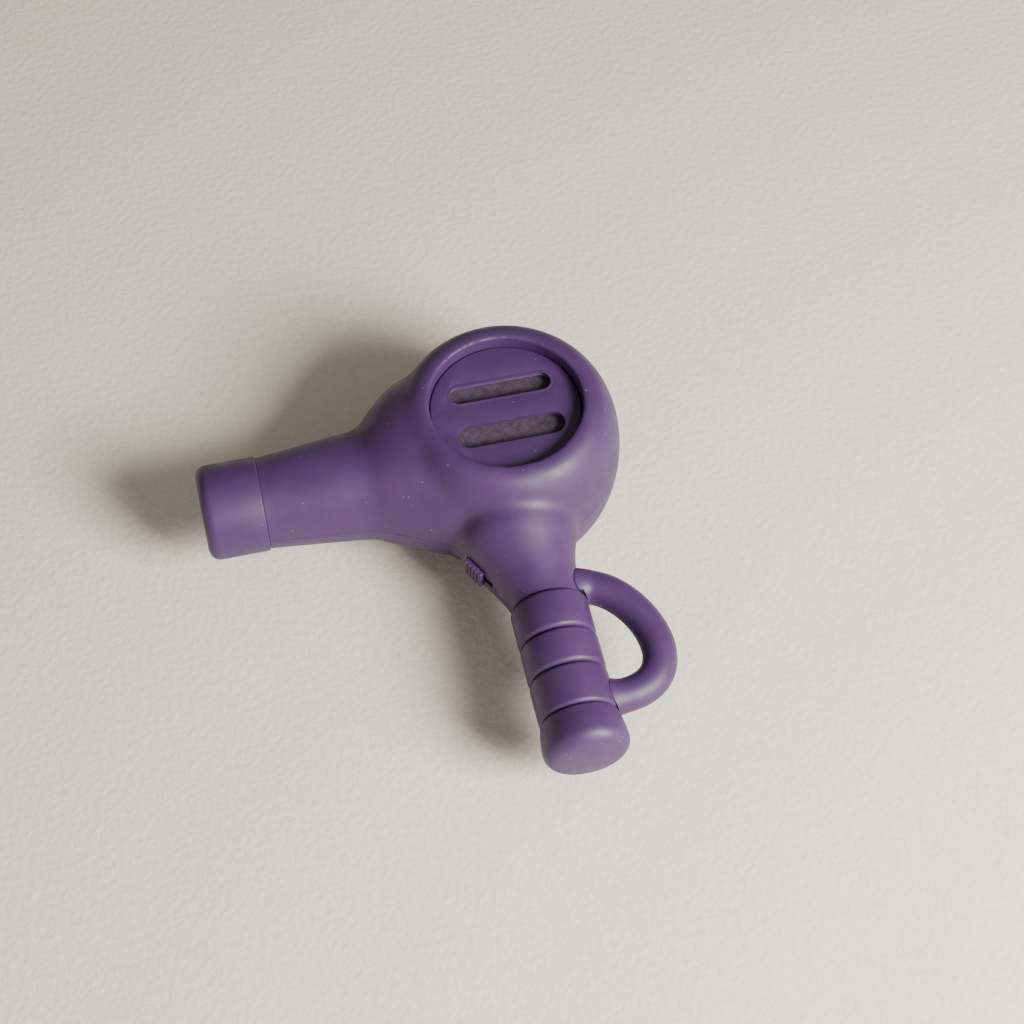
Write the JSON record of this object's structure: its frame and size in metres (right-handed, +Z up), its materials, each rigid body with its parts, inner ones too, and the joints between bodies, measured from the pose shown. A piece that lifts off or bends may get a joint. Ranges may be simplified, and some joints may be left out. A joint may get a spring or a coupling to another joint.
{
  "type": "travel hair dryer",
  "caption": "Compact hair dryer with a round fan housing, short barrel with a turning nozzle, straight ringed handle and a fixed hanging loop.",
  "frame": {"origin": "middle of the outline seen from above, on the plane that the lower intake rim rests on", "axes": "+Z up through the housing's thickness, along the fan axis; +Y from the handle's end towards the housing; the barrel points along -X"},
  "size_m": [0.173, 0.1913, 0.068],
  "materials": {
    "purple_plastic": "moulded, satin",
    "black_plastic": "moulded, satin",
    "filter_mesh": "fine woven nylon mesh in a moulded rim",
    "mica": "pressed mica sheet",
    "resistance_wire": "drawn resistance wire",
    "steel": "zinc plated",
    "fuse_ceramic": "unglazed",
    "copper": "turned copper",
    "carbon": "pressed carbon",
    "ferrite": "sintered",
    "brass": "turned",
    "circuit_board": "solder mask over glass epoxy",
    "diode_epoxy": "moulded epoxy",
    "capacitor_resin": "potted box",
    "brown_insulation": "smooth insulation",
    "blue_insulation": "smooth insulation",
    "red_insulation": "smooth insulation",
    "glass_sleeving": "braided glass sleeving"
  },
  "bodies": {
    "casing": {"upper_casing": "purple_plastic", "lower_casing": "purple_plastic", "upper_grip_ring": "purple_plastic", "middle_grip_ring": "purple_plastic", "lower_grip_ring": "purple_plastic", "handle_end_cap": "purple_plastic", "hang_loop": "purple_plastic", "outlet_grille": "black_plastic", "fan_scroll": "black_plastic", "motor_end_bell": "black_plastic", "switch_body": "black_plastic", "inlet_socket": "black_plastic", "heater_sleeve": "mica", "heater_board_flat": "mica", "heater_board_upright": "mica", "heater_coil": "resistance_wire", "thermostat": "steel", "motor_can": "steel", "motor_bracket": "steel", "bracket_screw_1": "steel", "bracket_screw_2": "steel", "bracket_screw_3": "steel", "casing_screw_1": "steel", "casing_screw_2": "steel", "casing_screw_3": "steel", "casing_screw_4": "steel", "thermal_fuse": "fuse_ceramic", "brush_1": "carbon", "brush_2": "carbon", "magnet_1": "ferrite", "magnet_2": "ferrite", "shaft_bush": "brass", "inlet_pin_1": "brass", "inlet_pin_2": "brass", "rectifier_board": "circuit_board", "diode_1": "diode_epoxy", "diode_2": "diode_epoxy", "diode_3": "diode_epoxy", "diode_4": "diode_epoxy", "suppression_capacitor": "capacitor_resin", "supply_lead": "brown_insulation", "neutral_lead": "blue_insulation", "motor_lead_1": "red_insulation", "motor_lead_2": "red_insulation", "heater_lead": "glass_sleeving"},
    "rotor": {"impeller": "black_plastic", "motor_shaft": "steel", "armature": "steel", "commutator": "copper"},
    "nozzle": {"nozzle": "purple_plastic"},
    "switch_button": {"switch_button": "purple_plastic"},
    "upper_cover": {"upper_intake_cover": "purple_plastic", "upper_lint_filter": "filter_mesh"},
    "lower_cover": {"lower_intake_cover": "purple_plastic", "lower_lint_filter": "filter_mesh"}
  },
  "joints": [
    {"name": "impeller_spin", "type": "hinge", "parent": "casing", "child": "rotor", "pos_m": [0.0395, 0.04865, 0.034], "axis": [0, 0, 1], "continuous": true},
    {"name": "nozzle_turn", "type": "hinge", "parent": "casing", "child": "nozzle", "pos_m": [-0.07, 0.04325, 0.034], "axis": [-1, 0, 0], "continuous": true},
    {"name": "switch_slide", "type": "slide", "parent": "casing", "child": "switch_button", "axis": [0.4716, -0.8818, 0], "range_m": [0, 0.007]},
    {"name": "upper_cover_twist", "type": "hinge", "parent": "casing", "child": "upper_cover", "pos_m": [0.0395, 0.04865, 0.062], "axis": [0, 0, 1], "range_deg": [0, 20]},
    {"name": "lower_cover_twist", "type": "hinge", "parent": "casing", "child": "lower_cover", "pos_m": [0.0395, 0.04865, 0.006], "axis": [0, 0, -1], "range_deg": [0, 20]}
  ]
}
